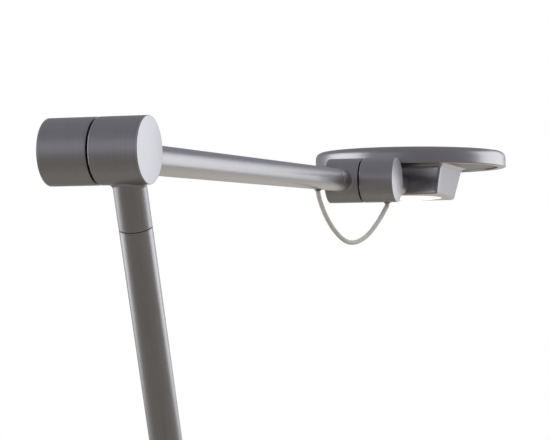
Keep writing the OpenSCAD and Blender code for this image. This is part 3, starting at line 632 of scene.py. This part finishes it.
def build_pod():
    """The pod's outside: a flared foot on the plate above it, the wall, and a rolled floor edge."""
    flare, flare_out, edge = 4.2, 0.8, 1.6
    foot_rows, wall_rows, edge_rows = 8, 12, 7
    lip, seat, seat_step, seat_depth = 2.9, 3.3, 0.4, 3
    verts, faces, loops = [], [], []

    def add(depth, off, up=0):
        ring = []
        for p in pod_loop(depth, off):
            ring.append(len(verts))
            down = pod_height(p.y, depth) - up
            verts.append(Vector((DISC_AT.x + p.x * MM, DISC_AT.y + p.y * MM, POD_TOP - down * MM)))
        loops.append(ring)

    span = (POD_FRONT_H + POD_FAR_H) / 2
    for k in range(foot_rows + 1):
        a = math.pi / 2 * k / foot_rows
        add(flare * (1 - math.cos(a)) / span, -flare * (1 - math.sin(a)) * flare_out)
    for k in range(1, wall_rows + 1):
        add((flare + (span - edge - flare) * k / wall_rows) / span, 0)
    for k in range(1, edge_rows + 1):
        a = math.pi / 2 * k / edge_rows
        add((span - edge + edge * math.sin(a)) / span, edge * (1 - math.cos(a)))
    add(1, lip)
    add(1, seat, seat_step)
    add(1, seat, seat_depth)
    for a, b in zip(loops, loops[1:]):
        for k in range(len(a)):
            n = (k + 1) % len(a)
            faces.append((a[k], a[n], b[n], b[k]))
    faces.append(tuple(loops[0]))
    faces.append(tuple(loops[-1]))
    add_piece("pod_body", verts, faces, "head", "pod_metal", ("pod_housing",), sharp=50)


build_pod()

# --------------------------------------------------------------------- cord
CORD_D = 3.2 * MM
CORD_START = HEAD_HINGE + Vector((-12.5, -74, 0)) * MM
CORD_LINE = Vector((29.1, 77.5, 0)).normalized()
CORD_POINTS_BETWEEN = 14
CORD_SIDES = 48
BRAID_RELIEF = 0.1 * MM
# The cord's route in mm: along CORD_LINE from the arm's grommet, and up from the head hinge
CORD_ROUTE = [
    (0, -10.6), (1.2, -14.5), (3.4, -19), (6.6, -24.2), (10.8, -29.5),
    (16, -34.8), (22, -39.4), (28.5, -43), (35, -45), (41.5, -45.2),
    (48, -44), (54.5, -41.6), (60.5, -38.2), (66, -34.2), (71.2, -29.8),
    (75.8, -25.4), (79.6, -21.2), (82, -18.6), (82.8, -16.8),
]


def smooth_path(points, per_span):
    """Catmull-Rom curve through the points."""
    out = []
    for i in range(len(points) - 1):
        p1, p2 = points[i], points[i + 1]
        p0 = points[i - 1] if i else p1 * 2 - p2
        p3 = points[i + 2] if i + 2 < len(points) else p2 * 2 - p1
        for k in range(per_span):
            t = k / per_span
            out.append(0.5 * ((2 * p1) + (p2 - p0) * t + (2 * p0 - 5 * p1 + 4 * p2 - p3) * t * t
                              + (3 * p1 - p0 - 3 * p2 + p3) * t ** 3))
    out.append(points[-1].copy())
    return out


def build_cord():
    """The braided loop, with its weave in relief."""
    route = [CORD_START + CORD_LINE * a * MM + UP * b * MM for a, b in CORD_ROUTE]
    path = smooth_path(route, CORD_POINTS_BETWEEN)
    side = CORD_LINE.cross(UP).normalized()
    verts, faces, uvs = [], [], []
    run = 0.0
    for i, p in enumerate(path):
        if i:
            run += (p - path[i - 1]).length
        tangent = (path[min(i + 1, len(path) - 1)] - path[max(i - 1, 0)]).normalized()
        normal = side.cross(tangent).normalized()
        for k in range(CORD_SIDES + 1):
            turn = k / CORD_SIDES
            a = math.tau * turn
            strands, along = turn * BRAID_STRANDS, run * BRAID_RATE
            wave = max(abs(math.sin(math.pi * (strands + s * along))) for s in (1, -1))
            radius = CORD_D / 2 - BRAID_RELIEF * (1 - wave ** 3)
            verts.append(p + radius * (math.cos(a) * side + math.sin(a) * normal))
            uvs.append((turn, run))
    step = CORD_SIDES + 1
    for i in range(len(path) - 1):
        for k in range(CORD_SIDES):
            a = i * step + k
            faces.append((a, a + 1, a + 1 + step, a + step))
    last = (len(path) - 1) * step
    faces.append(tuple(range(CORD_SIDES - 1, -1, -1)))
    faces.append(tuple(last + k for k in range(CORD_SIDES)))
    piece = add_piece("braided_cord", verts, faces, None, "braid", ("head_cord",), sharp=180, uvs=uvs)
    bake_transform(piece)


build_cord()

# -------------------------------------------------------------------- stage
FLOOR_R = 2.2
FLOOR_Z = -0.2 * MM
g = Graph("floor_paper")
paper = g.noise(g.coords(scale=(60, 60, 60)), 1.0, 3.0, 0.6)
g.put(g.bsdf.inputs["Base Color"],
      g.ramp(paper, [(0.3, (0.78, 0.78, 0.785)), (0.7, (0.81, 0.81, 0.815))]))
g.bsdf.inputs["Roughness"].default_value = 0.9
# The floor's glow rises from the centre outward: painted light, greyer round the lamp's base as painted shade
floor_at = g.node("ShaderNodeTexCoord").outputs["Object"]
from_centre = g.node("ShaderNodeVectorMath", {0: floor_at}, operation="LENGTH")
g.put(g.bsdf.inputs["Emission Strength"], g.span(from_centre.outputs["Value"], 0.28, 1.0, 0.3, 1.25))
g.bsdf.inputs["Emission Color"].default_value = (1.0, 0.985, 0.965, 1)
floor_mesh = bpy.data.meshes.new("floor")
floor_verts, floor_faces = lathe([(0, 0), (FLOOR_R, 0)], Vector((0, 0, FLOOR_Z)), UP)
floor_mesh.from_pydata([tuple(v) for v in floor_verts], [], floor_faces)
floor = bpy.data.objects.new("floor", floor_mesh)
bpy.context.scene.collection.objects.link(floor)
floor.data.materials.append(g.mat)
floor.visible_glossy = False
floor.visible_diffuse = False


def softbox(name, at, look, width, height, radiance, colour=(1, 1, 1)):
    """A rectangular light of that radiance, unseen by the camera."""
    data = bpy.data.lights.new(name, "AREA")
    data.shape = "RECTANGLE"
    data.size, data.size_y = width, height
    data.energy = radiance * math.pi * width * height
    data.color = colour
    lamp = bpy.data.objects.new(name, data)
    bpy.context.scene.collection.objects.link(lamp)
    at, look = Vector(at), Vector(look)
    lamp.matrix_world = Matrix.Translation(at) @ (look - at).to_track_quat("-Z", "Y").to_matrix().to_4x4()
    lamp.visible_camera = False


ARM_MIDDLE = (0.0, 0.25, 0.5)
softbox("soft_right", (1.03, 1.27, 0.74), ARM_MIDDLE, 1.55, 1.15, 1.2, (0.985, 0.99, 1.0))
softbox("soft_left", (-1.26, -0.03, 0.6), ARM_MIDDLE, 1.45, 1.2, 1.3)
softbox("fill_front", (-0.35, -1.3, 0.75), ELBOW, 0.9, 0.8, 0.2, (0.95, 0.95, 1.0))

world = bpy.data.worlds.new("studio")
bpy.context.scene.world = world
world.use_nodes = True
wt = world.node_tree
wt.nodes.clear()


def wnode(kind, **props):
    n = wt.nodes.new(kind)
    for key, value in props.items():
        setattr(n, key, value)
    return n


def wlink(source, target):
    wt.links.new(source, target)


def wrange(value, *numbers):
    """Map Range from (a, b) to (c, d), clamped."""
    n = wnode("ShaderNodeMapRange")
    for key, number in zip(("From Min", "From Max", "To Min", "To Max"), numbers):
        n.inputs[key].default_value = number
    wlink(value, n.inputs["Value"])
    return n.outputs[0]


def wmath(op, a, b):
    n = wnode("ShaderNodeMath", operation=op)
    for socket, value in zip(n.inputs, (a, b)):
        if isinstance(value, bpy.types.NodeSocket):
            wlink(value, socket)
        else:
            socket.default_value = value
    return n.outputs[0]


# The studio by direction: grey all round, brighter at the back, with a glow low down there
w_xyz = wnode("ShaderNodeSeparateXYZ")
wlink(wnode("ShaderNodeTexCoord").outputs["Generated"], w_xyz.inputs[0])
w_x, w_y, w_z = w_xyz.outputs
w_ramp = wnode("ShaderNodeValToRGB")
wlink(wrange(w_z, -1, 1, 0, 1), w_ramp.inputs["Fac"])
stops = [(0.0, (0.33, 0.31, 0.28)), (0.15, (0.23, 0.215, 0.19)), (0.35, (0.25, 0.235, 0.215)),
         (0.47, (0.27, 0.265, 0.27)), (0.56, (0.285, 0.275, 0.32)), (0.8, (0.27, 0.27, 0.30)),
         (1.0, (0.27, 0.27, 0.285))]
elements = w_ramp.color_ramp.elements
while len(elements) < len(stops):
    elements.new(0.5)
for element, (position, tint) in zip(elements, stops):
    element.position = position
    element.color = tint + (1,)
w_glow = wmath("MULTIPLY", wrange(w_y, 0.8, 0.97, 0, 1), wrange(w_z, 0.0, -0.2, 0, 1))
w_glow = wmath("MULTIPLY", w_glow, wrange(w_x, 0.36, 0.2, 0, 1))
w_gain = wmath("ADD", wrange(w_y, -1, 1, 0.8, 1.2), wmath("MULTIPLY", w_glow, 2.6))
# Matt surfaces get more of it from above, and the camera sees plain white
w_path = wnode("ShaderNodeLightPath").outputs
w_matt = wmath("MULTIPLY", w_path["Is Diffuse Ray"], wrange(w_z, -0.6, 0.8, 0.7, 1.9))
w_light = wnode("ShaderNodeBackground")
w_white = wnode("ShaderNodeBackground")
w_white.inputs["Color"].default_value = (1, 1, 1, 1)
w_mix = wnode("ShaderNodeMixShader")
wlink(w_ramp.outputs["Color"], w_light.inputs["Color"])
wlink(wmath("ADD", w_gain, w_matt), w_light.inputs["Strength"])
wlink(w_path["Is Camera Ray"], w_mix.inputs[0])
wlink(w_light.outputs[0], w_mix.inputs[1])
wlink(w_white.outputs[0], w_mix.inputs[2])
wlink(w_mix.outputs[0], wnode("ShaderNodeOutputWorld").inputs[0])
bpy.context.scene.view_settings.view_transform = "Standard"
